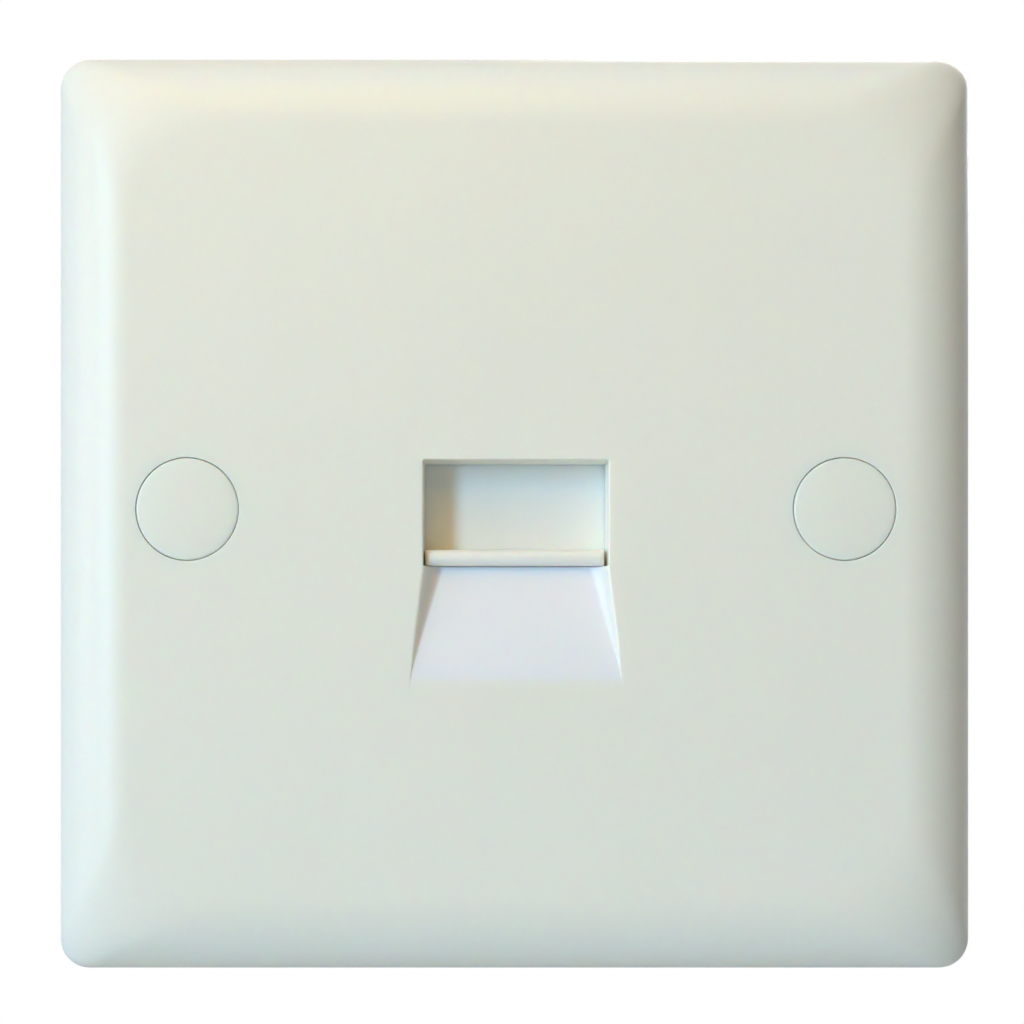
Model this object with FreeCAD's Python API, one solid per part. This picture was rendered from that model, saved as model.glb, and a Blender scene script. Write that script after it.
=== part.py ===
import FreeCAD, Part
import math
import os

from FreeCAD import Vector

# A single-gang telephone extension socket in white moulded plastic.
# X runs to the right as the room sees the plate, Y runs into the wall and Z runs up.
# The origin lies on the wall plane, midway between the two fixing screws. Lengths are millimetres.

# Faceplate moulding
plate_side = 86.0
plate_depth = 8.5
plate_corner_radius = 2.6
rim_draft = 0.1
crown_width = 7.5
crown_depth = 6.5
crown_fullness = 0.55
front_corner_radius = 9.0
side_wall = 2.5
front_wall = 2.8
hollow_step = 3.0
hollow_step_depth = 2.1

# Fixing screws, their bosses and their caps
fixing_centres = 60.3
fixing_screw_radius = 1.75
fixing_shank_radius = 1.55
fixing_screw_length = 25.0
fixing_hole_radius = 1.95
fixing_head_radius = 3.3
fixing_head_cone = 1.55
recess_span = 3.4
recess_width = 0.9
recess_depth = 1.1
cap_radius = 4.65
cap_recess_gap = 0.1
cap_recess_depth = 4.3
cap_skirt = 2.6
cap_wall = 0.9
cap_top = 1.1
cap_rise = 0.15
cap_edge_chamfer = 0.3
cap_rib_count = 4
cap_rib_width = 0.8
boss_wall = 1.75

# Window that the plug goes through, and the scoop that leads up to it
window_width = 17.0
window_top = 4.55
window_sill = -5.27
window_corner_radius = 0.2
window_draft = 1.5
scoop_top_width = 17.0
scoop_foot_width = 19.9
scoop_length = 11.5
scoop_depth = 2.0
scoop_runout = 7.6
scoop_wall_draft = 14.0
scoop_fillet_ratio = 0.55
scoop_least_depth = 0.01
scoop_sections = 5

# Seat on the back of the faceplate for the jack
seat_width = 27.0
seat_above = 22.0
seat_below = 18.2
seat_thickness = 1.1
seat_corner_radius = 1.5
rib_thickness = 1.2
rib_height = 3.0
rib_root = 0.2
rib_spacing = 24.0
rib_flange_gap = 0.3

# Spring-loaded shutter
shutter_thickness = 1.2
shutter_overlap = 1.75
shutter_head = 1.15
shutter_face_gap = 0.15
shutter_side_gap = 0.2
shutter_foot_gap = 0.05
shutter_travel = 8.0
ledge_height = 1.5
ledge_sill_gap = 0.12
ledge_reach = 3.45
ledge_left_gap = 0.25
ledge_right_gap = 0.6
ledge_nose_radius = 0.7
ledge_end_radius = 0.5
shoulder_width = 4.0
shoulder_depth = 2.95
shoulder_height = 1.7
spigot_radius = 0.8
spigot_height = 1.6

# Shutter spring
spring_radius = 1.3
spring_wire_radius = 0.2
spring_length = 14.5
spring_turn_count = 7
spring_flat_count = 12
spring_end_gap = 0.03

# Jack housing
cavity_width = 14.4
cavity_depth = 11.4
cavity_roof_drop = 0.05
cavity_wall = 1.4
cavity_back_wall = 1.2
flange_width = 25.2
flange_thickness = 4.6
flange_above = 1.3
flange_below = 16.4
chute_gap = 0.2
chute_back_gap = 0.2
lead_in = 0.6
latch_reach = 1.3
latch_front = 1.1
latch_slope = 2.0
latch_land = 0.6
latch_bottom = -2.6
latch_height = 3.2
core_pocket_depth = 2.8
core_pocket_wall = 1.6

# Contact carrier and contact springs
contact_count = 6
contact_pitch = 1.5
contact_centre = -1.0
contact_width = 0.6
contact_thickness = 0.3
contact_slope = 18.0
contact_arm = 7.4
contact_tail = 1.0
carrier_margin = 1.35
carrier_thickness = 2.3
carrier_front = 4.15
carrier_gap = 0.1
groove_gap = 0.06
groove_depth = 0.45

# Circuit board
board_width = 42.0
board_height = 34.0
board_thickness = 1.6
board_corner_radius = 1.5
tail_hole_gap = 0.15

# Module screws, which clamp the board and the jack to the faceplate
module_screw_flange_gap = 2.4
module_screw_z = 13.0
module_screw_radius = 1.45
module_root_radius = 1.15
module_screw_depth = 5.6
module_pilot_spare = 0.2
module_head_radius = 2.8
module_head_height = 1.9
pillar_radius = 3.4
pillar_hole_radius = 1.7
module_boss_radius = 3.1
module_boss_gap = 0.3
ear_thickness = 1.2
ear_root = 1.0
gusset_height = 4.0
gusset_thickness = 1.2

# Terminal blocks and their blades
terminal_edge_gap = 2.0
terminal_count = 3
terminal_pitch = 5.0
block_width = 8.0
block_height = 17.0
block_depth = 9.0
block_chamfer = 0.6
wire_slot_width = 1.2
wire_slot_depth = 5.0
wire_slot_flare = 0.5
blade_thickness = 0.5
blade_width = 3.2
blade_height = 7.8
blade_slot_width = 0.4
blade_slot_depth = 4.0
blade_mouth_width = 1.4
blade_mouth_depth = 0.8
blade_tail_width = 1.0
blade_tail_length = 2.5
blade_gap = 0.2

# Levels along Y that the pieces share
front_level = -plate_depth
rim_level = front_level + crown_depth
ceiling_level = -plate_depth + front_wall
seat_level = ceiling_level + seat_thickness
recess_floor = -plate_depth + cap_recess_depth
shutter_front = seat_level + shutter_face_gap
shutter_back = shutter_front + shutter_thickness
channel_back = shutter_back + shutter_face_gap
flange_back = seat_level + flange_thickness
cavity_back = channel_back + cavity_depth
board_front = cavity_back + cavity_back_wall
board_back = board_front + board_thickness
module_boss_level = flange_back - ear_thickness

# Levels along Z that the pieces share
ledge_bottom = window_sill + ledge_sill_gap
shutter_top = window_top + shutter_head
shutter_half_width = window_width / 2 + shutter_overlap
channel_floor = ledge_bottom - shutter_foot_gap
channel_top = shutter_top + shutter_travel + shutter_side_gap
channel_half_width = shutter_half_width + shutter_side_gap
cavity_roof = ledge_bottom + shutter_travel - cavity_roof_drop
spring_roof = shutter_top + spring_length
flange_top = spring_roof + flange_above
spring_axis_y = shutter_front + shoulder_depth / 2
carrier_bottom = channel_floor - carrier_thickness
carrier_width = (contact_count - 1) * contact_pitch + contact_width + 2 * carrier_margin
nose_y = seat_level + carrier_front + carrier_thickness / 2
nose_z = channel_floor - carrier_thickness / 2
contact_xs = [contact_centre + (i - (contact_count - 1) / 2) * contact_pitch for i in range(contact_count)]
terminal_x = board_width / 2 - terminal_edge_gap - block_width / 2
terminal_zs = [(i - (terminal_count - 1) / 2) * terminal_pitch for i in range(terminal_count)]
module_screw_x = flange_width / 2 + module_screw_flange_gap
module_screws = [(-module_screw_x, module_screw_z), (module_screw_x, -module_screw_z)]
quarter_turn = 4 / 3 * (math.sqrt(2) - 1)
into_wall = Vector(0, 1, 0)
overcut = 0.5
scoop_overcut = 0.05


def block(x0, x1, y0, y1, z0, z1):
    return Part.makeBox(x1 - x0, y1 - y0, z1 - z0, Vector(x0, y0, z0))


def rod(radius, x, z, y0, y1):
    return Part.makeCylinder(radius, y1 - y0, Vector(x, y0, z), into_wall)


def rounded_frame(x0, x1, z0, z1, radius, y):
    """A rectangle with round corners, as a closed wire in the plane at y."""
    c = radius * (1 - math.sqrt(0.5))

    def line(xa, za, xb, zb):
        return Part.makeLine(Vector(xa, y, za), Vector(xb, y, zb))

    def arc(xa, za, xm, zm, xb, zb):
        return Part.Arc(Vector(xa, y, za), Vector(xm, y, zm), Vector(xb, y, zb)).toShape()

    edges = [
        line(x0 + radius, z0, x1 - radius, z0),
        arc(x1 - radius, z0, x1 - c, z0 + c, x1, z0 + radius),
        line(x1, z0 + radius, x1, z1 - radius),
        arc(x1, z1 - radius, x1 - c, z1 - c, x1 - radius, z1),
        line(x1 - radius, z1, x0 + radius, z1),
        arc(x0 + radius, z1, x0 + c, z1 - c, x0, z1 - radius),
        line(x0, z1 - radius, x0, z0 + radius),
        arc(x0, z0 + radius, x0 + c, z0 + c, x0 + radius, z0),
    ]
    return Part.Wire(edges)


def rounded_block(x0, x1, y0, y1, z0, z1, radius):
    return Part.Face(rounded_frame(x0, x1, z0, z1, radius, y0)).extrude(Vector(0, y1 - y0, 0))


def corner_radius(offset):
    """Corner radius of the plate's outline, which grows with the distance in from its rim."""
    return plate_corner_radius + (front_corner_radius - plate_corner_radius) * offset / crown_width


def edge_patch(section, across):
    """One patch of the plate's edge. Section runs in from the rim, and across runs round the outline."""
    patch = Part.BezierSurface()
    patch.increase(len(across) - 1, len(section) - 1)
    for j, (offset, level) in enumerate(section, 1):
        radius = corner_radius(offset)
        straight = plate_side / 2 - offset - radius
        for i, (side_x, side_z, turn_x, turn_z) in enumerate(across, 1):
            point = Vector(side_x * straight + turn_x * radius, level, side_z * straight + turn_z * radius)
            patch.setPole(i, j, point)
    return patch.toShape()


def plate_body():
    """Solid form of the plate: a drafted rim, then a crowned edge that runs out into the flat front."""
    rim = [(0, 0), (rim_draft, rim_level)]
    crown = [
        (rim_draft, rim_level),
        (rim_draft, rim_level - crown_fullness * crown_depth),
        (crown_width - crown_fullness * (crown_width - rim_draft), front_level),
        (crown_width, front_level),
    ]
    side = [(1, -1, 1, 0), (1, 1, 1, 0)]
    corner = [(1, 1, 1, 0), (1, 1, 1, quarter_turn), (1, 1, quarter_turn, 1), (1, 1, 0, 1)]
    patches = []
    for section in (rim, crown):
        for across in (side, corner):
            for quarter in range(4):
                patch = edge_patch(section, across)
                patch.rotate(Vector(0, 0, 0), into_wall, quarter * 90)
                patches.append(patch)
    skin = Part.Shell(patches)
    skin.sewShape()
    openings = [e for e in skin.Edges if len(skin.ancestorsOfType(e, Part.Face)) == 1]
    back = [e for e in openings if e.BoundBox.YMin > rim_level]
    front = [e for e in openings if e.BoundBox.YMax < rim_level]
    ends = [Part.Face(Part.Wire(Part.__sortEdges__(loop))) for loop in (back, front)]
    shell = Part.Shell(skin.Faces + ends)
    shell.sewShape()
    return Part.Solid(shell)


def hollow_part(offset, floor):
    half = plate_side / 2 - offset
    return rounded_block(-half, half, floor, overcut, -half, half, corner_radius(offset) - side_wall)


def plate_hollow():
    """Hollow back. It steps in under the crown, so that the wall keeps its thickness there."""
    outer = hollow_part(side_wall, ceiling_level + hollow_step_depth)
    return outer.fuse(hollow_part(side_wall + hollow_step, ceiling_level))


def cap_recess(x):
    """Recess for a cap, with the countersink and the clearance hole for the fixing screw."""
    recess = rod(cap_radius + cap_recess_gap, x, 0, front_level - overcut, recess_floor)
    hole = rod(fixing_hole_radius, x, 0, recess_floor, overcut)
    slope = fixing_head_cone / (fixing_head_radius - fixing_shank_radius)
    depth = slope * (fixing_head_radius - fixing_hole_radius)
    sink = Part.makeCone(
        fixing_head_radius, fixing_hole_radius, depth, Vector(x, recess_floor, 0), into_wall
    )
    return recess.fuse([hole, sink])


def window_cut():
    """The window, drafted so that it narrows from the front to the shutter."""
    narrowing = (seat_level - front_level) * math.tan(math.radians(window_draft))
    half = window_width / 2
    front = rounded_frame(-half, half, window_sill, window_top, window_corner_radius, front_level)
    back_half = half - narrowing
    back = rounded_frame(
        -back_half, back_half, window_sill, window_top - narrowing, window_corner_radius, seat_level
    )
    outer = rounded_block(
        -half, half, front_level - overcut, front_level, window_sill, window_top, window_corner_radius
    )
    inner = rounded_block(
        -back_half,
        back_half,
        seat_level,
        seat_level + overcut,
        window_sill,
        window_top - narrowing,
        window_corner_radius,
    )
    return Part.makeLoft([front, back], True, True).fuse([outer, inner])


def scoop_depth_at(run):
    """Depth of the scoop's floor at a distance below the sill: a slope that runs out into the front face."""
    slope = scoop_depth / (scoop_length - scoop_runout / 2)
    if run < scoop_length - scoop_runout:
        return scoop_depth - slope * run
    return slope * (scoop_length - run) ** 2 / (2 * scoop_runout)


def scoop_section(run):
    """Cross-section of the scoop at one height: flat floor, round corners and leaning side walls."""
    depth = max(scoop_depth_at(run), scoop_least_depth)
    z = window_sill - run
    half = (scoop_top_width + (scoop_foot_width - scoop_top_width) * run / scoop_length) / 2
    lean = math.radians(scoop_wall_draft)
    radius = scoop_fillet_ratio * depth
    floor = front_level + depth
    foot = half - depth * math.tan(lean)
    turn = math.pi / 2 - lean
    tangent = radius * math.tan(turn / 2)
    flat = foot - tangent
    side = Vector(foot + tangent * math.sin(lean), floor - tangent * math.cos(lean), z)
    centre = Vector(flat, floor - radius, z)
    middle = centre + Vector(radius * math.sin(turn / 2), radius * math.cos(turn / 2), 0)
    top = Vector(half + scoop_overcut * math.tan(lean), front_level - scoop_overcut, z)

    def mirror(p):
        return Vector(-p.x, p.y, p.z)

    flat_end = Vector(flat, floor, z)
    edges = [
        Part.makeLine(mirror(flat_end), flat_end),
        Part.Arc(flat_end, middle, side).toShape(),
        Part.makeLine(side, top),
        Part.makeLine(top, mirror(top)),
        Part.makeLine(mirror(top), mirror(side)),
        Part.Arc(mirror(side), mirror(middle), mirror(flat_end)).toShape(),
    ]
    return Part.Wire(edges)


def scoop_cut():
    bend = scoop_length - scoop_runout
    slope_part = Part.makeLoft([scoop_section(-overcut), scoop_section(bend)], True, True)
    runs = [bend + scoop_runout * i / scoop_sections for i in range(scoop_sections + 1)]
    return slope_part.fuse(Part.makeLoft([scoop_section(run) for run in runs], True, False))


def plate_ribs():
    """Stiffening ribs from the jack's seat to the plate's edges and to the bosses."""
    reach = plate_side / 2 - side_wall + rib_root
    rib_level = ceiling_level + rib_height
    half = rib_thickness / 2
    ribs = []
    for x in (-rib_spacing / 2, rib_spacing / 2):
        above = flange_top + rib_flange_gap
        below = -flange_below - rib_flange_gap
        ribs.append(block(x - half, x + half, ceiling_level - overcut, rib_level, above, reach))
        ribs.append(block(x - half, x + half, ceiling_level - overcut, rib_level, -reach, below))
    for side in (-1, 1):
        inner = side * (flange_width / 2 + rib_flange_gap)
        outer = side * reach
        ribs.append(
            block(min(inner, outer), max(inner, outer), ceiling_level - overcut, rib_level, -half, half)
        )
    return ribs


def module_boss(x, z):
    return rod(module_boss_radius, x, z, ceiling_level - overcut, module_boss_level)


def faceplate():
    boss_radius = cap_radius + cap_recess_gap + boss_wall
    boss_xs = (-fixing_centres / 2, fixing_centres / 2)
    shell = plate_body().cut(plate_hollow())
    inside = plate_ribs()
    inside += [rod(boss_radius, x, 0, ceiling_level - overcut, 0) for x in boss_xs]
    inside += [module_boss(x, z) for x, z in module_screws]
    inside.append(
        rounded_block(
            -seat_width / 2,
            seat_width / 2,
            ceiling_level - overcut,
            seat_level,
            -seat_below,
            seat_above,
            seat_corner_radius,
        )
    )
    body = shell.fuse([piece.common(plate_body()) for piece in inside])
    cuts = [cap_recess(x) for x in boss_xs]
    cuts += [window_cut(), scoop_cut()]
    cuts += [
        rod(module_root_radius, x, z, module_boss_level - module_screw_depth - module_pilot_spare, overcut)
        for x, z in module_screws
    ]
    return body.cut(cuts).removeSplitter()


def screw_cap(x):
    """A push-in cap: a slightly domed disc on a thin skirt with grip ribs."""
    dome_radius = (cap_radius**2 + cap_rise**2) / (2 * cap_rise)
    back = front_level + cap_skirt
    disc = rod(cap_radius, x, 0, front_level - cap_rise, back)
    dome = Part.makeSphere(dome_radius, Vector(x, front_level - cap_rise + dome_radius, 0))
    body = disc.common(dome)
    front_rim = [e for e in body.Edges if e.BoundBox.YLength < 1e-3 and e.BoundBox.YMax < front_level + 1e-3]
    body = body.makeChamfer(cap_edge_chamfer, front_rim)
    body = body.cut(rod(cap_radius - cap_wall, x, 0, front_level + cap_top, back + overcut))
    for i in range(cap_rib_count):
        rib = block(
            x + cap_radius - cap_wall / 2,
            x + cap_radius + cap_recess_gap,
            front_level + cap_top,
            back,
            -cap_rib_width / 2,
            cap_rib_width / 2,
        )
        rib.rotate(Vector(x, 0, 0), into_wall, 45 + i * 360 / cap_rib_count)
        body = body.fuse(rib.common(rod(cap_radius + cap_recess_gap, x, 0, front_level, back)))
    return body.removeSplitter()


def cross_recess(x, z, y0, y1):
    """Cross-shaped driver recess in a screw's head."""
    arm = recess_span / 2
    half = recess_width / 2
    upright = block(x - half, x + half, y0, y1, z - arm, z + arm)
    return upright.fuse(block(x - arm, x + arm, y0, y1, z - half, z + half))


def fixing_screw(x):
    """Countersunk machine screw with a plain neck in the boss and its thread beyond the wall plane."""
    neck_start = recess_floor + fixing_head_cone
    cone = Part.makeCone(
        fixing_head_radius, fixing_shank_radius, fixing_head_cone, Vector(x, recess_floor, 0), into_wall
    )
    neck = rod(fixing_shank_radius, x, 0, neck_start, 0)
    thread = rod(fixing_screw_radius, x, 0, 0, recess_floor + fixing_screw_length)
    recess = cross_recess(x, 0, recess_floor - overcut, recess_floor + recess_depth)
    return cone.fuse([neck, thread]).cut(recess).removeSplitter()


def ledge():
    """Lip along the shutter's foot, which the plug lifts. Its nose and its ends are round."""
    half = window_width / 2
    nose = shutter_front - ledge_reach
    bar = block(
        -half + ledge_left_gap,
        half - ledge_right_gap,
        nose,
        shutter_front + shutter_thickness / 2,
        ledge_bottom,
        ledge_bottom + ledge_height,
    )
    nose_edges = [e for e in bar.Edges if e.BoundBox.YMax < nose + 1e-3]
    long_edges = [e for e in nose_edges if e.BoundBox.XLength > window_width / 2]
    end_edges = [e for e in nose_edges if e.BoundBox.XLength < 1e-3]
    return bar.makeFillet(ledge_nose_radius, long_edges).common(bar.makeFillet(ledge_end_radius, end_edges))


def shutter():
    """Sliding flap with its ledge, and the shoulder and spigot that carry the spring."""
    plate = block(
        -shutter_half_width, shutter_half_width, shutter_front, shutter_back, ledge_bottom, shutter_top
    )
    shoulder = block(
        -shoulder_width / 2,
        shoulder_width / 2,
        shutter_front,
        shutter_front + shoulder_depth,
        shutter_top - shoulder_height,
        shutter_top,
    )
    spigot = Part.makeCylinder(spigot_radius, spigot_height, Vector(0, spring_axis_y, shutter_top))
    return plate.fuse([ledge(), shoulder, spigot]).removeSplitter()


def shutter_spring():
    """Compression spring in the chute above the shutter: a square wire, each turn drawn as a polygon."""
    height = spring_length - 2 * (spring_wire_radius + spring_end_gap)
    start = shutter_top + spring_wire_radius + spring_end_gap
    steps = spring_turn_count * spring_flat_count
    sections = []
    for i in range(steps + 1):
        angle = 2 * math.pi * i / spring_flat_count
        outward = Vector(math.cos(angle), math.sin(angle), 0)
        centre = Vector(0, spring_axis_y, start + height * i / steps) + outward * spring_radius
        side = outward * spring_wire_radius
        up = Vector(0, 0, spring_wire_radius)
        corners = [centre - side - up, centre + side - up, centre + side + up, centre - side + up]
        sections.append(Part.makePolygon(corners + [corners[0]]))
    return Part.makeLoft(sections, True, True)


def ear(x, z):
    """Lug beside the flange that carries a pillar and takes the clamping load of a module screw."""
    inner = math.copysign(flange_width / 2 - ear_root, x)
    lug = block(
        min(inner, x), max(inner, x), seat_level, flange_back, z - pillar_radius, z + pillar_radius
    )
    foot = rod(pillar_radius, x, z, seat_level, flange_back)
    pillar = rod(pillar_radius, x, z, flange_back - overcut, board_front)
    return [lug, foot, pillar]


def gusset(x, z):
    """Web on the back of the flange that props a pillar."""
    half = gusset_thickness / 2
    return block(
        min(x, 0), max(x, 0), flange_back - overcut, flange_back + gusset_height, z - half, z + half
    )


def flange_core(z0, z1):
    """Coring pocket that keeps the lower flange at a mouldable thickness."""
    half = flange_width / 2 - core_pocket_wall
    return block(-half, half, seat_level - overcut, seat_level + core_pocket_depth, z0, z1)


def latch_catch():
    """Ramped step on the right-hand wall that holds the plug's latch."""
    wall = cavity_width / 2
    start = channel_back + latch_front
    land = start + latch_slope
    points = [(wall, start), (wall - latch_reach, land), (wall - latch_reach, land + latch_land)]
    points += [(wall + overcut, land + latch_land), (wall + overcut, start)]
    corners = [Vector(x, y, latch_bottom) for x, y in points]
    return Part.Face(Part.makePolygon(corners + [corners[0]])).extrude(Vector(0, 0, latch_height))


def cavity_cut():
    """Space for the plug, with a lead-in at its mouth."""
    half = cavity_width / 2
    space = block(-half, half, channel_back - overcut, cavity_back, channel_floor, cavity_roof)
    mouth = Part.makeLoft(
        [
            Part.makePolygon(rectangle(half + lead_in, channel_floor, cavity_roof + lead_in, channel_back)),
            Part.makePolygon(rectangle(half, channel_floor, cavity_roof, channel_back + lead_in)),
        ],
        True,
        True,
    )
    return [space, mouth]


def rectangle(half, z0, z1, y):
    corners = [(-half, z0), (half, z0), (half, z1), (-half, z1), (-half, z0)]
    return [Vector(x, y, z) for x, z in corners]


def jack_housing():
    """Moulding behind the faceplate: shutter channel, spring chute, plug cavity and screw pillars."""
    half_flange = flange_width / 2
    half_cavity = cavity_width / 2 + cavity_wall
    half_chute = shoulder_width / 2 + chute_gap
    body = block(-half_flange, half_flange, seat_level, flange_back, -flange_below, flange_top)
    box = block(
        -half_cavity,
        half_cavity,
        flange_back - overcut,
        board_front,
        carrier_bottom - cavity_wall,
        cavity_roof + cavity_wall,
    )
    added = [box]
    for x, z in module_screws:
        added += ear(x, z)
        added.append(gusset(x, z))
    body = body.fuse(added)
    channel = block(
        -channel_half_width,
        channel_half_width,
        seat_level - overcut,
        channel_back,
        channel_floor,
        channel_top,
    )
    chute = block(
        -half_chute,
        half_chute,
        seat_level - overcut,
        shutter_front + shoulder_depth + chute_back_gap,
        shutter_top - shoulder_height - chute_gap,
        spring_roof,
    )
    carrier_space = block(
        contact_centre - carrier_width / 2 - carrier_gap,
        contact_centre + carrier_width / 2 + carrier_gap,
        nose_y - carrier_thickness / 2 - carrier_gap,
        board_front + overcut,
        carrier_bottom,
        channel_floor + overcut,
    )
    core_bottom = -flange_below + core_pocket_wall
    core_top = carrier_bottom - cavity_wall
    cuts = [channel, chute, carrier_space, flange_core(core_bottom, core_top)] + cavity_cut()
    for x, z in module_screws:
        cuts.append(rod(module_boss_radius + module_boss_gap, x, z, seat_level - overcut, module_boss_level))
        cuts.append(rod(pillar_hole_radius, x, z, seat_level - overcut, board_front + overcut))
    return body.cut(cuts).fuse(latch_catch()).removeSplitter()


def groove(x):
    """Channel for one contact: along the underside of the carrier, round its nose and out of its top."""
    half = contact_width / 2 + groove_gap
    outer = carrier_thickness / 2 + overcut
    inner = carrier_thickness / 2 - groove_depth
    back = board_front + overcut
    ring = Part.makeCylinder(outer, 2 * half, Vector(x - half, nose_y, nose_z), Vector(1, 0, 0))
    ring = ring.cut(Part.makeCylinder(inner, 2 * half, Vector(x - half, nose_y, nose_z), Vector(1, 0, 0)))
    front = block(x - half, x + half, nose_y - outer, nose_y, nose_z - outer, nose_z + outer)
    under = block(x - half, x + half, nose_y, back, nose_z - outer, nose_z - inner)
    over = block(x - half, x + half, nose_y, nose_y + contact_arm / 2, nose_z + inner, nose_z + outer)
    return ring.common(front).fuse([under, over])


def contact_carrier():
    """Comb that the contacts are laid in before it slides into the housing from the back."""
    half = carrier_width / 2
    bar = block(
        contact_centre - half, contact_centre + half, nose_y, board_front, carrier_bottom, channel_floor
    )
    nose = Part.makeCylinder(
        carrier_thickness / 2, carrier_width, Vector(contact_centre - half, nose_y, nose_z), Vector(1, 0, 0)
    )
    return bar.fuse(nose).cut([groove(x) for x in contact_xs]).removeSplitter()


def contact(x):
    """Contact spring: a strip that comes through the board and bends round the nose up into the cavity."""
    inner = carrier_thickness / 2 - groove_depth
    outer = inner + contact_thickness
    slope = math.radians(contact_slope)
    x0 = x - contact_width / 2

    def round_nose(radius, turn):
        angle = -math.pi / 2 - turn
        return Vector(x0, nose_y + radius * math.cos(angle), nose_z + radius * math.sin(angle))

    along = Vector(0, math.cos(slope), math.sin(slope)) * contact_arm
    end = board_back + contact_tail
    full = math.pi - slope
    outer_end = round_nose(outer, full)
    inner_end = round_nose(inner, full)
    tail_outer = Vector(x0, end, nose_z - outer)
    tail_inner = Vector(x0, end, nose_z - inner)
    edges = [
        Part.makeLine(tail_outer, round_nose(outer, 0)),
        Part.Arc(round_nose(outer, 0), round_nose(outer, full / 2), outer_end).toShape(),
        Part.makeLine(outer_end, outer_end + along),
        Part.makeLine(outer_end + along, inner_end + along),
        Part.makeLine(inner_end + along, inner_end),
        Part.Arc(inner_end, round_nose(inner, full / 2), round_nose(inner, 0)).toShape(),
        Part.makeLine(round_nose(inner, 0), tail_inner),
        Part.makeLine(tail_inner, tail_outer),
    ]
    return Part.Face(Part.Wire(edges)).extrude(Vector(contact_width, 0, 0))


def board_slot(x, z, width, height):
    """Slot through the board for a flat tail, with room for its solder."""
    half_width = width / 2 + tail_hole_gap
    half_height = height / 2 + tail_hole_gap
    return block(
        x - half_width,
        x + half_width,
        board_front - overcut,
        board_back + overcut,
        z - half_height,
        z + half_height,
    )


def circuit_board():
    half_width = board_width / 2
    half_height = board_height / 2
    board = rounded_block(
        -half_width, half_width, board_front, board_back, -half_height, half_height, board_corner_radius
    )
    front = board_front - overcut
    back = board_back + overcut
    cuts = [rod(pillar_hole_radius, x, z, front, back) for x, z in module_screws]
    tail_z = nose_z - carrier_thickness / 2 + groove_depth - contact_thickness / 2
    cuts += [board_slot(x, tail_z, contact_width, contact_thickness) for x in contact_xs]
    for x in (-terminal_x, terminal_x):
        cuts += [board_slot(x, z, blade_thickness, blade_tail_width) for z in terminal_zs]
    return board.cut(cuts)


def module_screw(x, z):
    """Cheese head self-tapping screw. Its end has the root size of its thread, which fills the pilot hole."""
    top = board_back + module_head_height
    head = rod(module_head_radius, x, z, board_back, top)
    shank = rod(module_screw_radius, x, z, module_boss_level, board_back)
    root = rod(module_root_radius, x, z, module_boss_level - module_screw_depth, module_boss_level)
    recess = cross_recess(x, z, top - recess_depth, top + overcut)
    return head.fuse([shank, root]).cut(recess).removeSplitter()


def wire_slot(x, z):
    """Slot across a terminal block that a wire is pushed down into, wider at its mouth."""
    top = board_back + block_depth
    half = wire_slot_width / 2
    wide = half + wire_slot_flare
    bottom = top - wire_slot_depth
    points = [(z - half, bottom), (z + half, bottom), (z + half, top - 2 * wire_slot_flare)]
    points += [(z + wide, top), (z + wide, top + overcut), (z - wide, top + overcut), (z - wide, top)]
    points += [(z - half, top - 2 * wire_slot_flare)]
    start = x - block_width / 2 - overcut
    length = block_width + 2 * overcut
    corners = [Vector(start, y, across) for across, y in points]
    return Part.Face(Part.makePolygon(corners + [corners[0]])).extrude(Vector(length, 0, 0))


def terminal_block(x):
    """Three-way insulation displacement block, with a wire slot and a blade pocket for each way."""
    half_width = block_width / 2
    half_height = block_height / 2
    back = board_back + block_depth
    body = block(x - half_width, x + half_width, board_back, back, -half_height, half_height)
    top = [e for e in body.Edges if e.BoundBox.YMin > back - 1e-3]
    body = body.makeChamfer(block_chamfer, top)
    cuts = []
    for z in terminal_zs:
        cuts.append(wire_slot(x, z))
        half_thickness = blade_thickness / 2 + blade_gap
        half_blade = blade_width / 2 + blade_gap
        cuts.append(
            block(
                x - half_thickness,
                x + half_thickness,
                board_back - overcut,
                board_back + block_depth + overcut,
                z - half_blade,
                z + half_blade,
            )
        )
    return body.cut(cuts)


def terminal_blade(x, z):
    """Forked brass blade: a slot that cuts through a wire's insulation, and a tail through the board."""
    half = blade_width / 2
    tail = blade_tail_width / 2
    top = board_back + blade_height
    slot = blade_slot_width / 2
    mouth = blade_mouth_width / 2
    right = [
        (tail, board_back - blade_tail_length),
        (tail, board_back),
        (half, board_back),
        (half, top),
        (mouth, top),
        (slot, top - blade_mouth_depth),
        (slot, top - blade_slot_depth),
    ]
    outline = right + [(-across, y) for across, y in reversed(right)]
    corners = [Vector(x - blade_thickness / 2, y, z + across) for across, y in outline]
    return Part.Face(Part.makePolygon(corners + [corners[0]])).extrude(Vector(blade_thickness, 0, 0))


def save(name, shape):
    shape.exportStep("parts/" + name + ".step")


os.makedirs("parts", exist_ok=True)
save("faceplate", faceplate())
for side, sign in (("left", -1), ("right", 1)):
    save("screw_cap_" + side, screw_cap(sign * fixing_centres / 2))
    save("fixing_screw_" + side, fixing_screw(sign * fixing_centres / 2))
    save("terminal_block_" + side, terminal_block(sign * terminal_x))
save("shutter", shutter())
save("shutter_spring", shutter_spring())
save("jack_housing", jack_housing())
save("contact_carrier", contact_carrier())
for number, x in enumerate(contact_xs, 1):
    save("contact_" + str(number), contact(x))
save("circuit_board", circuit_board())
blade_number = 0
for sign in (-1, 1):
    for z in reversed(terminal_zs):
        blade_number += 1
        save("terminal_blade_" + str(blade_number), terminal_blade(sign * terminal_x, z))
for place, (x, z) in zip(("upper", "lower"), module_screws):
    save("module_screw_" + place, module_screw(x, z))
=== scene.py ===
import math

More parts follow.
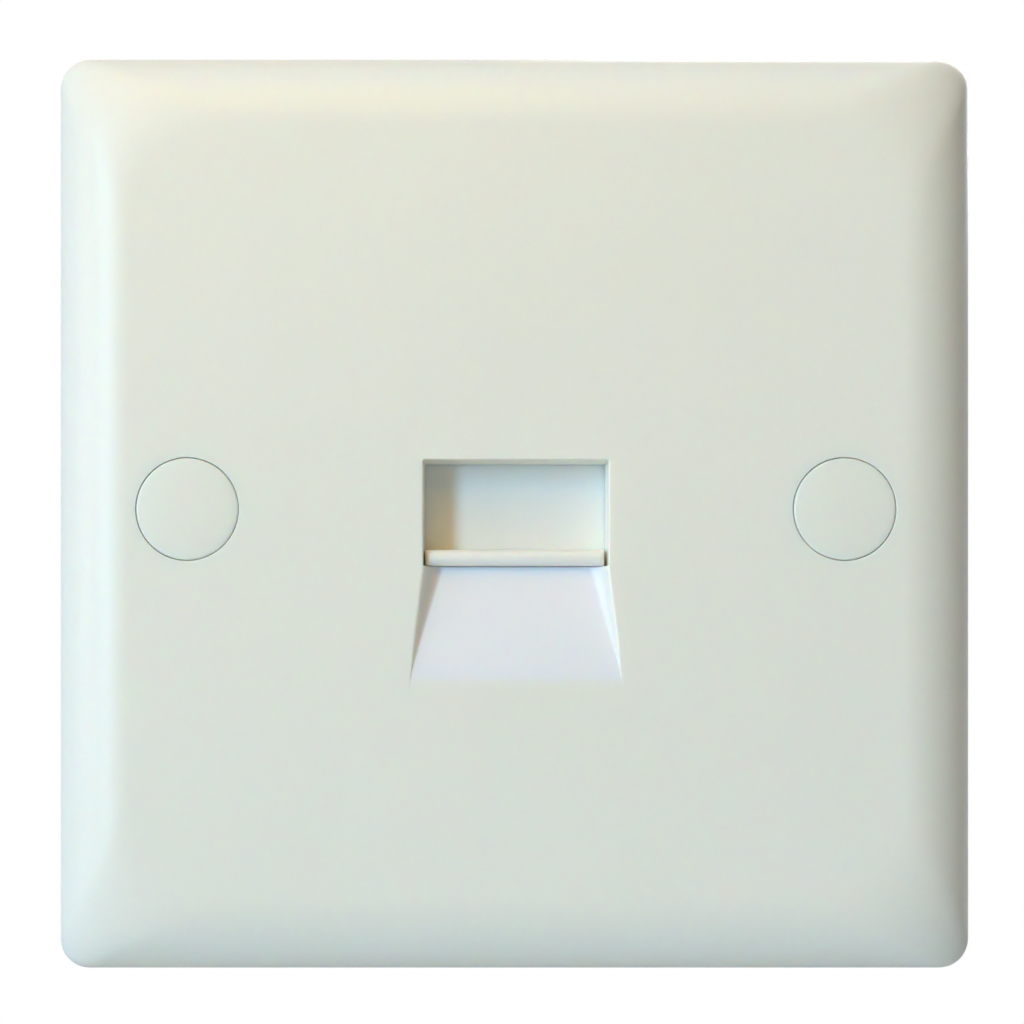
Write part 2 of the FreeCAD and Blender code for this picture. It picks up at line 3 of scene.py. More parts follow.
import bmesh
import bpy
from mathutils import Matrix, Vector


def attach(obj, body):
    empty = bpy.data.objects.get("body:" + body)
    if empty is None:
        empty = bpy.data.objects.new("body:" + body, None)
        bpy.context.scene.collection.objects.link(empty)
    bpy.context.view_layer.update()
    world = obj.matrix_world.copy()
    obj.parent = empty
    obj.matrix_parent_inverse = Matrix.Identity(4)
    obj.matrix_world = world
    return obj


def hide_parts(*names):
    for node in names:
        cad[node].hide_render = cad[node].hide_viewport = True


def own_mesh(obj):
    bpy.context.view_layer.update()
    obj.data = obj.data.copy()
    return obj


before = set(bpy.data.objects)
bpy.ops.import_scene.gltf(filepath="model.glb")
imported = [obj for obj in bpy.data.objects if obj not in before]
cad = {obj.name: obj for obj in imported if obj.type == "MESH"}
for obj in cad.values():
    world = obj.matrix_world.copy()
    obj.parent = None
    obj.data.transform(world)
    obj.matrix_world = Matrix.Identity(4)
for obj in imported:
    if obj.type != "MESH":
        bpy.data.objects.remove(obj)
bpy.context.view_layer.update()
bpy.context.scene.view_settings.view_transform = "Standard"


# The camera looks straight at the wall, from a little left of the plate and below its middle.
# Its lens is shifted up and right, so the plate stands in the middle with upright sides.
camera_distance = 0.1946
camera_left = 0.0050
camera_below = 0.0155
camera = bpy.data.objects.new("camera", bpy.data.cameras.new("camera"))
camera.data.sensor_width = 36
camera.data.lens = 71.38
camera.data.shift_x = 0.0494
camera.data.shift_y = 0.1622
camera.data.clip_start = 0.01
camera.location = (-camera_left, -camera_distance, -camera_below)
camera.rotation_euler = (math.pi / 2, 0, 0)
bpy.context.scene.collection.objects.link(camera)
bpy.context.scene.camera = camera


# Plain soft studio light: a tall key at the left, a soft lamp further round it, two small soft lamps
# above and a weak fill at the right. A last one behind lights the back, which this view doesn't see.
# The camera and reflections see a white background, and everything else only a faint warm one.
def studio_lamp(name, place, width, height, watts, colour):
    lamp = bpy.data.objects.new(name, bpy.data.lights.new(name, "AREA"))
    lamp.data.shape = "RECTANGLE"
    lamp.data.size = width
    lamp.data.size_y = height
    lamp.data.energy = watts
    lamp.data.color = colour
    lamp.location = place
    lamp.rotation_euler = (-Vector(place)).to_track_quat("-Z", "Y").to_euler()
    bpy.context.scene.collection.objects.link(lamp)


studio_lamp("key_lamp", (-0.796, -0.969, 0.2), 0.25, 0.7, 11.1, (0.46, 0.74, 1.0))
studio_lamp("side_lamp", (-1.15, -0.42, 0.1), 0.45, 0.45, 3.2, (0.75, 0.8, 1.0))
studio_lamp("overhead_lamp", (-0.05, -0.2, 0.22), 0.22, 0.22, 0.47, (1.0, 0.65, 0.19))
studio_lamp("top_lamp", (0.0, -0.06, 0.45), 0.3, 0.3, 0.5, (0.25, 0.6, 1.0))
studio_lamp("fill_lamp", (0.8, -0.5, 0.1), 0.7, 0.7, 0.4, (0.6, 0.8, 1.0))
studio_lamp("back_lamp", (0.5, 1.1, 0.7), 0.8, 0.8, 9, (0.9, 0.95, 1.0))

world = bpy.data.worlds.new("studio")
bpy.context.scene.world = world
world.use_nodes = True
links = world.node_tree.links
nodes = world.node_tree.nodes
nodes.clear()
path = nodes.new("ShaderNodeLightPath")
camera_or_glossy = nodes.new("ShaderNodeMath")
camera_or_glossy.operation = "MAXIMUM"
seen = nodes.new("ShaderNodeMath")
seen.operation = "MAXIMUM"
ambient = nodes.new("ShaderNodeBackground")
ambient.inputs["Color"].default_value = (1.0, 0.9, 0.75, 1)
ambient.inputs["Strength"].default_value = 0.01
backdrop = nodes.new("ShaderNodeBackground")
backdrop.inputs["Color"].default_value = (1, 1, 1, 1)
backdrop.inputs["Strength"].default_value = 1
choice = nodes.new("ShaderNodeMixShader")
output = nodes.new("ShaderNodeOutputWorld")
links.new(path.outputs["Is Camera Ray"], camera_or_glossy.inputs[0])
links.new(path.outputs["Is Glossy Ray"], camera_or_glossy.inputs[1])
links.new(camera_or_glossy.outputs[0], seen.inputs[0])
links.new(path.outputs["Is Transmission Ray"], seen.inputs[1])
links.new(seen.outputs[0], choice.inputs["Fac"])
links.new(ambient.outputs[0], choice.inputs[1])
links.new(backdrop.outputs[0], choice.inputs[2])
links.new(choice.outputs[0], output.inputs["Surface"])


# A plain pale floor below the plate, short enough to stay out of the main view. It is painted board,
# shown to the camera paler than the lamps make it, and it keeps the object's shadow.
floor_level = -0.075
floor_half = 0.3
floor_near = -0.42
floor_far = 0.12
floor_paleness = 0.6


def new_material(name, colour, roughness, specular=0.5, metallic=0.0):
    material = bpy.data.materials.new(name)
    material.use_nodes = True
    shader = material.node_tree.nodes["Principled BSDF"]
    shader.inputs["Base Color"].default_value = (*colour, 1)
    shader.inputs["Roughness"].default_value = roughness
    shader.inputs["Specular IOR Level"].default_value = specular
    shader.inputs["Metallic"].default_value = metallic
    return material


floor_paint = new_material("floor_paint", (0.76, 0.82, 0.86), 0.8)
links = floor_paint.node_tree.links
nodes = floor_paint.node_tree.nodes
path = nodes.new("ShaderNodeLightPath")
share = nodes.new("ShaderNodeMath")
share.operation = "MULTIPLY"
share.inputs[1].default_value = floor_paleness
glow = nodes.new("ShaderNodeEmission")
glow.inputs["Color"].default_value = (0.9, 0.91, 0.92, 1)
choice = nodes.new("ShaderNodeMixShader")
links.new(path.outputs["Is Camera Ray"], share.inputs[0])
links.new(share.outputs[0], choice.inputs["Fac"])
links.new(nodes["Principled BSDF"].outputs[0], choice.inputs[1])
links.new(glow.outputs[0], choice.inputs[2])
links.new(choice.outputs[0], nodes["Material Output"].inputs["Surface"])

floor_mesh = bpy.data.meshes.new("floor")
near_side = [(-floor_half, floor_near, floor_level), (floor_half, floor_near, floor_level)]
far_side = [(floor_half, floor_far, floor_level), (-floor_half, floor_far, floor_level)]
floor_mesh.from_pydata(near_side + far_side, [], [(0, 1, 2, 3)])
floor = bpy.data.objects.new("floor", floor_mesh)
bpy.context.scene.collection.objects.link(floor)
floor.data.materials.append(floor_paint)


# White moulded plastic for the plate, its caps and the shutter. It lets a little light through,
# is faintly uneven in colour and has the fine ripple of a polished mould. In the scoop its white
# is mixed towards a bluer white, a painted cool light for the light its upturned floor catches.
def object_noise(material, scale, detail=3.0):
    """A noise pattern fixed to the piece, with its scale in features per metre."""
    tree = material.node_tree
    place = tree.nodes.new("ShaderNodeTexCoord")
    noise = tree.nodes.new("ShaderNodeTexNoise")
    noise.inputs["Scale"].default_value = scale
    noise.inputs["Detail"].default_value = detail
    tree.links.new(place.outputs["Object"], noise.inputs["Vector"])
    return noise.outputs["Fac"]


def mottle(material, pattern, low_colour, high_colour, spread=0.2):
    """Colours the surface between two tones by a pattern, and returns that colour."""
    tree = material.node_tree
    band = tree.nodes.new("ShaderNodeValToRGB")
    band.color_ramp.elements[0].position = 0.5 - spread
    band.color_ramp.elements[1].position = 0.5 + spread
    band.color_ramp.elements[0].color = (*low_colour, 1)
    band.color_ramp.elements[1].color = (*high_colour, 1)
    tree.links.new(pattern, band.inputs["Fac"])
    tree.links.new(band.outputs["Color"], tree.nodes["Principled BSDF"].inputs["Base Color"])
    return band.outputs["Color"]


def bump(material, pattern, distance, strength):
    """Raises the surface by a pattern, with the full height in metres."""
    tree = material.node_tree
    relief = tree.nodes.new("ShaderNodeBump")
    relief.inputs["Distance"].default_value = distance
    relief.inputs["Strength"].default_value = strength
    tree.links.new(pattern, relief.inputs["Height"])
    tree.links.new(relief.outputs["Normal"], tree.nodes["Principled BSDF"].inputs["Normal"])


def gloss_range(material, pattern, low, high):
    """Varies the roughness between two values with a pattern."""
    tree = material.node_tree
    spread = tree.nodes.new("ShaderNodeMapRange")
    spread.inputs["To Min"].default_value = low
    spread.inputs["To Max"].default_value = high
    tree.links.new(pattern, spread.inputs["Value"])
    tree.links.new(spread.outputs["Result"], tree.nodes["Principled BSDF"].inputs["Roughness"])


white_plastic = new_material("white_plastic", (0.85, 0.83, 0.74), 0.38, specular=0.4)
shader = white_plastic.node_tree.nodes["Principled BSDF"]
shader.inputs["Subsurface Weight"].default_value = 0.6
shader.inputs["Subsurface Radius"].default_value = (1.0, 0.5, 0.2)
shader.inputs["Subsurface Scale"].default_value = 0.0013
white_clouds = object_noise(white_plastic, 60)
tint = mottle(white_plastic, white_clouds, (0.845, 0.826, 0.735), (0.855, 0.834, 0.746))
gloss_range(white_plastic, white_clouds, 0.35, 0.42)
bump(white_plastic, object_noise(white_plastic, 900, 2), 0.00001, 0.06)
links = white_plastic.node_tree.links
nodes = white_plastic.node_tree.nodes
# Painted cool light: where the scoop's floor is marked, the white is mixed towards a bluish white
# that stands in for the cool light falling on it.
scoop_cool_light_paint = nodes.new("ShaderNodeAttribute")
scoop_cool_light_paint.attribute_name = "scoop_cool_light_paint"
painted_cool_mix = nodes.new("ShaderNodeMixRGB")
painted_cool_mix.inputs["Color2"].default_value = (0.845, 0.835, 0.855, 1)
links.new(scoop_cool_light_paint.outputs["Fac"], painted_cool_mix.inputs["Fac"])
links.new(tint, painted_cool_mix.inputs["Color1"])
links.new(painted_cool_mix.outputs["Color"], shader.inputs["Base Color"])


# The faceplate is one injection moulding with a crowned edge, a window for the plug with a scoop
# below it, and a well at each side for a fixing screw. Its hollow back has bosses, ribs and a seat.
plate_half = 43.0
plate_front = -8.5
rim_back = -2.0
rim_lean = 0.1
crown_width = 7.5
crown_fullness = 0.55
outer_corner = 2.6
front_corner = 9.0
window_lip = 0.12
window_half = 8.53
window_top = 4.55
window_corner = 0.2
window_lean = math.tan(math.radians(1.5))
sill = -5.2
seat = -4.6
seat_half = 8.5
scoop_lip = 0.25
scoop_lip_share = 0.35
scoop_half = 8.4
scoop_length = 11.5
scoop_depth = 2.0
scoop_runout = 2.6
scoop_spread = 1.45
scoop_lean = math.radians(18)
scoop_roundness = 0.8
scoop_least = 0.03
screw_offset = 30.15
screw_hole = 1.95
countersink_half = 3.3
countersink_depth = 1.196
well_radius = 4.75
well_floor = -4.2
well_lip = 0.08


def bezier(a, b, c, d, t):
    return a * (1 - t) ** 3 + 3 * b * t * (1 - t) ** 2 + 3 * c * t**2 * (1 - t) + d * t**3


def plate_ring(offset, level, steps=20):
    """The plate's outline at a distance in from its rim, with its corners rounder further in."""
    radius = outer_corner + (front_corner - outer_corner) * offset / crown_width
    straight = plate_half - offset - radius
    ring = []
    for quarter in range(4):
        start = quarter * math.pi / 2
        x = straight * math.copysign(1, math.cos(start + math.pi / 4))
        z = straight * math.copysign(1, math.sin(start + math.pi / 4))
        for i in range(steps + 1):
            angle = start + math.pi / 2 * i / steps
            ring.append((x + radius * math.cos(angle), level, z + radius * math.sin(angle)))
    return ring


def crown_rings(steps=32):
    """The plate's edge from the wall to its flat front: a straight rim and the crown's curve."""
    inner_pull = crown_width - crown_fullness * (crown_width - rim_lean)
    outer_pull = rim_back - crown_fullness * (rim_back - plate_front)
    rings = [plate_ring(0, 0)]
    for i in range(steps + 1):
        offset = bezier(rim_lean, rim_lean, inner_pull, crown_width, i / steps)
        level = bezier(rim_back, outer_pull, plate_front, plate_front, i / steps)
        rings.append(plate_ring(offset, level))
    return rings


def add_strips(bm, rings, closed):
    """Joins rings of equal length, in millimetres, with four-sided faces and returns their points."""
    rows = [[bm.verts.new(Vector(p) * 0.001) for p in ring] for ring in rings]
    for near, far in zip(rows, rows[1:]):
        count = len(near)
        for i in range(count if closed else count - 1):
            j = (i + 1) % count
            bm.faces.new((near[i], near[j], far[j], far[i]))
    return rows


def turned_rings(x, z, profile, count=72):
    """Rings round an axis into the wall, from (radius, level) pairs."""
    turns = [2 * math.pi * i / count for i in range(count)]
    return [[(x + radius * math.cos(a), level, z + radius * math.sin(a)) for a in turns]
            for radius, level in profile]


def rounded_lip(size, steps=4):
    """The round where a wall meets the front, as (distance out, level) pairs from the front in."""
    turns = [math.pi / 2 * i / steps for i in range(steps + 1)]
    return [(size * (1 - math.sin(a)), plate_front + size * (1 - math.cos(a))) for a in turns]


def screw_well():
    """The profile of a well: rounded lip, wall, floor, countersink and hole."""
    lip = [(well_radius + out, level) for out, level in rounded_lip(well_lip)]
    return lip + [(well_radius, well_floor), (countersink_half, well_floor),
                  (screw_hole, well_floor + countersink_depth), (screw_hole, 0)]


def window_wall():
    """The window's sides and top, from the rounded lip at the front down to the shutter."""
    corner_x = window_half - window_corner
    corner_z = window_top - window_corner
    path = [(window_half, sill, 1, 0)]
    for x, start in ((corner_x, 0), (-corner_x, math.pi / 2)):
        for i in range(7):
            angle = start + math.pi / 2 * i / 6
            across, up = math.cos(angle), math.sin(angle)
            path.append((x + window_corner * across, corner_z + window_corner * up, across, up))
    path.append((-window_half, sill, -1, 0))
    rings = [[(x + out * nx, level, z + out * nz) for x, z, nx, nz in path]
             for out, level in rounded_lip(window_lip)]
    inset = (seat - plate_front) * window_lean
    side_inset = inset + window_half - seat_half
    rings.append([(x - side_inset * nx, seat, z - inset * nz) for x, z, nx, nz in path])
    return rings


def floor_depth(run):
    """How deep the scoop's floor lies: a straight ramp that runs out in a curve."""
    slope = scoop_depth / (scoop_length - scoop_runout / 2)
    if run < scoop_length - scoop_runout:
        return scoop_depth - slope * run
    return slope * (scoop_length - run) ** 2 / (2 * scoop_runout)


def scoop_row(run):
    """One cross-section of the scoop: rounded edge, leaning wall, round corner and floor."""
    depth = floor_depth(run)
    shape = max(depth, scoop_least)
    half = scoop_half + scoop_spread * run / scoop_length
    turn = math.pi / 2 - scoop_lean
    edge = min(scoop_lip, scoop_lip_share * shape)
    round_edge = edge / math.tan(turn / 2)
    corner = scoop_roundness * shape
    tangent = corner * math.tan(turn / 2)
    flat = half - shape * math.tan(scoop_lean) - tangent
    side = []
    for i in range(6):
        angle = turn * i / 5
        side.append((half + edge - round_edge * math.sin(angle), round_edge * (1 - math.cos(angle))))
    for i in range(11):
        angle = turn * (1 - i / 10)
        side.append((flat + corner * math.sin(angle), shape - corner * (1 - math.cos(angle))))
    side += [(flat * share, shape) for share in (0.75, 0.5, 0.25)]
    profile = side + [(0, shape)] + [(-x, y) for x, y in reversed(side)]
    return [(x, plate_front + y * depth / shape, sill - run) for x, y in profile]


def scoop_rows(ramp_steps=16, runout_steps=12):
    """The scoop from the sill down, with its rows closer together where the floor runs out."""
    ramp = scoop_length - scoop_runout
    runs = [i * ramp / ramp_steps for i in range(ramp_steps + 1)]
    runs += [scoop_length - scoop_runout * (1 - i / runout_steps) for i in range(1, runout_steps + 1)]
    return [scoop_row(run) for run in runs]


def frame_back(node, near=0.15):
    """The faces of the plate's back, as they are in the frame, less the walls that are made here."""
    mesh = node.data
    faces = []
    for face in mesh.polygons:
        x, y, z = face.center * 1000
        in_width = abs(x) < window_half + near
        in_height = sill - near < z < window_top + near
        window_side = in_width and in_height and y < seat
        in_well = math.hypot(abs(x) - screw_offset, z) < well_radius + near
        well_side = in_well and abs(face.normal.y) < 0.5
        if face.normal.y > -0.02 and not window_side and not well_side:
            faces.append([mesh.vertices[i].co for i in face.vertices])
    return faces


def finished_piece(bm, name, sharp_angle):
    """Makes the piece, smooth apart from the edges sharper than an angle in degrees."""
    mesh = bpy.data.meshes.new(name)
    bm.to_mesh(mesh)
    bm.free()
    mesh.shade_smooth()
    mesh.set_sharp_from_angle(angle=math.radians(sharp_angle))
    piece = bpy.data.objects.new(name, mesh)
    bpy.context.scene.collection.objects.link(piece)
    return piece


def plate_moulding():
    bm = bmesh.new()
    add_strips(bm, crown_rings(), True)
    for x in (-screw_offset, screw_offset):
        add_strips(bm, turned_rings(x, 0, screw_well()), True)
    add_strips(bm, window_wall(), False)
    add_strips(bm, scoop_rows(), False)
    bmesh.ops.remove_doubles(bm, verts=bm.verts, dist=2e-7)
    bm.verts.ensure_lookup_table()

    def at(point):
        return min(bm.verts, key=lambda v: (v.co - Vector(point) * 0.001).length_squared)

    def in_front(edge):
        return all(abs(v.co.y * 1000 - plate_front) < 1e-4 for v in edge.verts)

    sill_step = [at(p) for p in scoop_row(0)]
    sill_step += [at(ring[-1]) for ring in window_wall()[1:]]
    sill_step += [at(ring[0]) for ring in reversed(window_wall()[1:])]
    bm.faces.new(sill_step)
    rim_edges = [e for e in bm.edges if e.is_boundary and in_front(e)]
    bmesh.ops.triangle_fill(bm, use_beauty=True, use_dissolve=False, edges=rim_edges)
    bmesh.ops.recalc_face_normals(bm, faces=bm.faces)
    front_face = max((f for f in bm.faces if abs(f.normal.y) > 0.999), key=lambda f: f.calc_area())
    if front_face.normal.y > 0:
        bmesh.ops.reverse_faces(bm, faces=bm.faces)
    for corners in frame_back(cad["faceplate"]):
        bm.faces.new([bm.verts.new(p) for p in corners])
    back = [v for v in bm.verts if v.co.y > plate_front * 0.001 + 1e-6]
    bmesh.ops.remove_doubles(bm, verts=back, dist=1e-6)
    return finished_piece(bm, "plate_moulding", 32)


def mark_scoop(mesh, edge=0.08):
    """Marks the scoop's floor with painted cool light, a bluer white standing in for the cool light
    its upturned floor catches. The mark fades in over the scoop's edge.
    """
    cool_paint_share = mesh.attributes.new("scoop_cool_light_paint", "FLOAT", "POINT")
    widest = scoop_half + scoop_spread + scoop_lip
    for i, vertex in enumerate(mesh.vertices):
        x, y, z = vertex.co * 1000
        run = min(max(sill - z, 0), scoop_length - 0.01)
        in_scoop = abs(x) < widest and sill - scoop_length <= z <= sill + 0.001 and y < seat
        depth = (y - plate_front) if in_scoop else 0
        on_floor = min(depth / floor_depth(run), 1) ** 3
        cool_paint_share.data[i].value = min(depth / edge, 1) * on_floor


def flatten_front(mesh):
    """Turns the shading of the flat front straight forward, so its long triangles don't show."""
    normals = [corner.vector.copy() for corner in mesh.corner_normals]
    for i, corner in enumerate(mesh.loops):
        point = mesh.vertices[corner.vertex_index].co
        if abs(point.y * 1000 - plate_front) < 1e-4 and normals[i].y < -0.8:
            normals[i] = Vector((0, -1, 0))
    mesh.normals_split_custom_set(normals)


plate = plate_moulding()
mark_scoop(plate.data)
flatten_front(plate.data)
plate.data.materials.append(white_plastic)
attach(plate, "plate")
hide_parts("faceplate")


# Two push-in caps of the same plastic cover the fixing screws. Each is a faintly domed disc with a
# rounded edge, on a thin skirt whose four small ribs grip the wall of its well.
cap_radius = 4.69
cap_edge = 0.2
cap_rise = 0.146
cap_middle = 0.02
cap_back = -5.9
cap_inside = -7.4
cap_bore = 3.75
rib_inner = 4.2
rib_outer = 4.74
rib_half = 0.4


def add_solid(bm, rings):
    """Joins closed rings and closes the first and the last with a face."""
    rows = add_strips(bm, rings, True)
    bm.faces.new(rows[0])
    bm.faces.new(rows[-1])


def solid_piece(bm, name, sharp_angle):
    """Turns a solid's faces outwards and makes the piece."""
    bmesh.ops.recalc_face_normals(bm, faces=bm.faces)
    return finished_piece(bm, name, sharp_angle)


def cap_profile():
    """The cap's section as (radius, level) pairs: dome, rounded edge, skirt and inside."""
    dome_radius = (cap_radius**2 + cap_rise**2) / (2 * cap_rise)
    profile = []
    for i in range(9):
        radius = cap_middle + (cap_radius - cap_edge) * i / 8
        profile.append((radius, plate_front - cap_rise + radius**2 / (2 * dome_radius)))
    base = profile[-1][1] + cap_edge
    for i in range(1, 7):
        angle = math.pi / 2 * i / 6
        radius = cap_radius - cap_edge * (1 - math.sin(angle))
        profile.append((radius, base - cap_edge * math.cos(angle)))
    return profile + [(cap_radius, cap_back), (cap_bore, cap_back),
                      (cap_bore, cap_inside), (cap_middle, cap_inside)]


def grip_rib(x, turn):
    """One rib across the skirt, as its section at the front and at the back."""
    across, up = math.cos(turn), math.sin(turn)
    section = ((rib_inner, -rib_half), (rib_outer, -rib_half),
               (rib_outer, rib_half), (rib_inner, rib_half))
    return [[(x + out * across - side * up, level, out * up + side * across) for out, side in section]
            for level in (cap_inside, cap_back)]


def screw_cap(name, x):
    bm = bmesh.new()
    add_solid(bm, turned_rings(x, 0, cap_profile()))
    for quarter in range(4):
        add_solid(bm, grip_rib(x, math.pi / 4 + quarter * math.pi / 2))
    return solid_piece(bm, name, 40)


for side, x in (("left", -screw_offset), ("right", screw_offset)):
    cap = screw_cap("cap_" + side, x)
    cap.data.materials.append(white_plastic)
    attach(cap, "plate")
    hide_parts("screw_cap_" + side)


# The shutter is a small flap that closes the window, a moulding of its own whose white is set a
# little bluer than the plate's. The plug lifts it by the ledge along its foot. A spigot at its top
# carries the spring that shuts it.
shutter_plastic = white_plastic.copy()
shutter_plastic.name = "shutter_plastic"
shutter_plastic.node_tree.nodes["Principled BSDF"].inputs["Specular IOR Level"].default_value = 0.25
for node in shutter_plastic.node_tree.nodes:
    if node.bl_idname == "ShaderNodeValToRGB":
        node.color_ramp.elements[0].color = (0.842, 0.828, 0.77, 1)
        node.color_ramp.elements[1].color = (0.852, 0.836, 0.782, 1)
ledge_left = -8.33
ledge_right = 8.18
ledge_nose = -7.7
ledge_low = -5.15
ledge_high = -3.65
ledge_root = 0.3
ledge_end_round = 0.5
ledge_nose_round = 0.7
flap_front = -4.56
flap_back = -3.25
flap_half = 10.25
flap_top = 5.7
shoulder_half = 2.0
shoulder_height = 1.7
shoulder_root = 0.2
shoulder_back = -1.61
spigot_radius = 0.8
spigot_length = 1.6
spigot_chamfer = 0.2
spigot_root = 0.1
spigot_level = -2.975


def rounded_steps(low, high, radius, count=7):
    """Positions from low to high, close over the round at each end, with each one's set-back."""
    steps = []
    for i in range(count):
        angle = math.pi / 2 * i / (count - 1)
        steps.append((low + radius * (1 - math.cos(angle)), radius * (1 - math.sin(angle))))
    return steps + [(low + high - at, back) for at, back in reversed(steps)]


def add_box(bm, low, high):
    """A box between two opposite corners, in millimetres."""
    corners = [bm.verts.new(Vector((x, y, z)) * 0.001) for x in (low[0], high[0])
               for y in (low[1], high[1]) for z in (low[2], high[2])]
    for face in ((0, 1, 3, 2), (4, 6, 7, 5), (0, 4, 5, 1), (2, 3, 7, 6), (0, 2, 6, 4), (1, 5, 7, 3)):
        bm.faces.new([corners[k] for k in face])


def add_ledge(bm):
    """The ledge stands out from the flap's foot, with a round nose and round ends."""
    across = rounded_steps(ledge_left, ledge_right, ledge_end_round)
    up = rounded_steps(ledge_low, ledge_high, ledge_nose_round)
    root = flap_front + ledge_root
    rows = [[(x, root, ledge_low) for x, _ in across]]
    rows += [[(x, ledge_nose + math.hypot(back, end), z) for x, end in across] for z, back in up]
    rows += [[(x, root, ledge_high) for x, _ in across]]
    grid = add_strips(bm, rows, False)
    for end in (0, -1):
        bm.faces.new([row[end] for row in grid])
    bm.faces.new(grid[0] + grid[-1][::-1])


def add_spigot(bm):
    """The pin on the flap's top that the spring's first turn fits round."""
    turns = [2 * math.pi * i / 32 for i in range(32)]
    tip = flap_top + spigot_length
    profile = ((spigot_radius, flap_top - spigot_root), (spigot_radius, tip - spigot_chamfer),
               (spigot_radius - spigot_chamfer, tip))
    add_solid(bm, [[(radius * math.cos(a), spigot_level + radius * math.sin(a), level) for a in turns]
                   for radius, level in profile])


def shutter_flap():
    bm = bmesh.new()
    add_ledge(bm)
    add_box(bm, (-flap_half, flap_front, ledge_low), (flap_half, flap_back, flap_top))
    add_box(bm, (-shoulder_half, flap_back - shoulder_root, flap_top - shoulder_height),
            (shoulder_half, shoulder_back, flap_top))
    add_spigot(bm)
    return solid_piece(bm, "shutter_flap", 35)


flap = shutter_flap()
flap.data.materials.append(shutter_plastic)
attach(flap, "shutter")
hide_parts("shutter")


# The shutter's spring is a coil of bright stainless wire. It stands on the spigot and pushes
# against the roof of its chute. In the socket it shortens when the plug lifts the shutter; here it is
# built at one length and fixed with the plate.
spring_low = 5.73
spring_high = 20.17
spring_turns = 8
coil_radius = 1.3
wire_radius = 0.2


def polished_metal(name, colour, roughness, grain, low, high):
    """A bare metal whose roughness varies about its own, with a grain in features per metre."""
    material = new_material(name, colour, roughness, metallic=1.0)
    gloss_range(material, object_noise(material, grain), low, high)
    return material


def spring_coil(turn_steps=28, wire_sides=10):
    steps = spring_turns * turn_steps
    low, high = spring_low + wire_radius, spring_high - wire_radius
    rings = []
    for i in range(steps + 1):
        turn = 2 * math.pi * i / turn_steps
        out = Vector((math.cos(turn), math.sin(turn), 0))
        centre = Vector((0, spigot_level, low + (high - low) * i / steps)) + out * coil_radius
        ring = []
        for k in range(wire_sides):
            angle = 2 * math.pi * k / wire_sides
            side = out * math.cos(angle) + Vector((0, 0, math.sin(angle)))
            ring.append(centre + side * wire_radius)
        rings.append(ring)
    bm = bmesh.new()
    add_solid(bm, rings)
    return solid_piece(bm, "spring_coil", 50)


stainless = polished_metal("stainless_wire", (0.62, 0.61, 0.59), 0.25, 2500, 0.18, 0.34)
coil = spring_coil()
coil.data.materials.append(stainless)
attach(coil, "plate")
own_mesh(coil)
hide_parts("shutter_spring")


# The jack's body and its contact comb are plain moulded parts behind the plate, in a pale grey
# plastic with the fine matt grain of a spark-eroded mould.
def finish_node(name, material, round_edges=0.0):
    """Gives a solid of the frame its finish, and softens its edges by a width in millimetres."""
    node = cad[name]
    node.data.materials.clear()
    node.data.materials.append(material)
    if round_edges:
        node.modifiers.new("join", "WELD").merge_threshold = 1e-6
        soften = node.modifiers.new("soft_edges", "BEVEL")
        soften.width = round_edges * 0.001
        soften.segments = 2
        soften.limit_method = "ANGLE"
        soften.angle_limit = math.radians(50)
        soften.harden_normals = True


jack_plastic = new_material("jack_plastic", (0.72, 0.73, 0.71), 0.5)
jack_grain = object_noise(jack_plastic, 4000, 2)
bump(jack_plastic, jack_grain, 0.00002, 0.25)
gloss_range(jack_plastic, jack_grain, 0.45, 0.6)
mottle(jack_plastic, object_noise(jack_plastic, 80), (0.70, 0.71, 0.69), (0.74, 0.745, 0.73))
finish_node("jack_housing", jack_plastic, 0.2)
finish_node("contact_carrier", jack_plastic)


# Six contact springs of gold-flashed bronze strip run from the board, round the comb's nose
# and up into the cavity, where the plug's contacts press on them.
contact_gold = polished_metal("contact_gold", (0.86, 0.62, 0.28), 0.22, 3000, 0.16, 0.32)
for number in range(1, 7):
    finish_node("contact_" + str(number), contact_gold)


# The circuit board is glass laminate with green solder resist. It joins the contacts to the
# terminals and is clamped on the jack's pillars by the two module screws.
board_green = new_material("board_green", (0.02, 0.16, 0.07), 0.3)
weave = object_noise(board_green, 1500)
mottle(board_green, weave, (0.016, 0.13, 0.055), (0.03, 0.19, 0.09), spread=0.15)
bump(board_green, weave, 0.00001, 0.2)
finish_node("circuit_board", board_green, 0.06)


# Copper tracks under the resist run from the contacts to the terminals on the back of the board.
# They stand a few hundredths of a millimetre proud, and show paler than the board around them.
board_back = 11.1
contact_tail = -7.2
contact_middle = -1.0
contact_pitch = 1.5
contact_places = [contact_middle + contact_pitch * (i - 2.5) for i in range(6)]
terminal_rows = (-5, 0, 5)
track_end = 14
track_half = 0.3
track_rise = 0.035
track_root = 0.02


def board_tracks():
    bm = bmesh.new()
    low, high = board_back - track_root, board_back + track_rise
    for x, row in zip(contact_places, terminal_rows + terminal_rows[::-1]):
        end = math.copysign(track_end, x - contact_middle)
        add_box(bm, (x - track_half, low, contact_tail), (x + track_half, high, row + track_half))
        add_box(bm, (min(x, end), low, row - track_half), (max(x, end), high, row + track_half))
    return solid_piece(bm, "board_tracks", 30)


track_green = new_material("track_green", (0.05, 0.27, 0.12), 0.28)
mottle(track_green, object_noise(track_green, 1500), (0.04, 0.24, 0.10), (0.07, 0.31, 0.15))
tracks = board_tracks()
tracks.data.materials.append(track_green)
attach(tracks, "plate")


# A small cone of bright solder holds each contact's tail on the back of the board, and each
# terminal blade's tail on its front.
board_thickness = 1.6
terminal_columns = (-15, 15)
contact_pad = 0.58
blade_pad = 0.95
solder_form = ((1, 0), (0.93, 0.07), (0.7, 0.2), (0.55, 0.42), (0.46, 0.62))


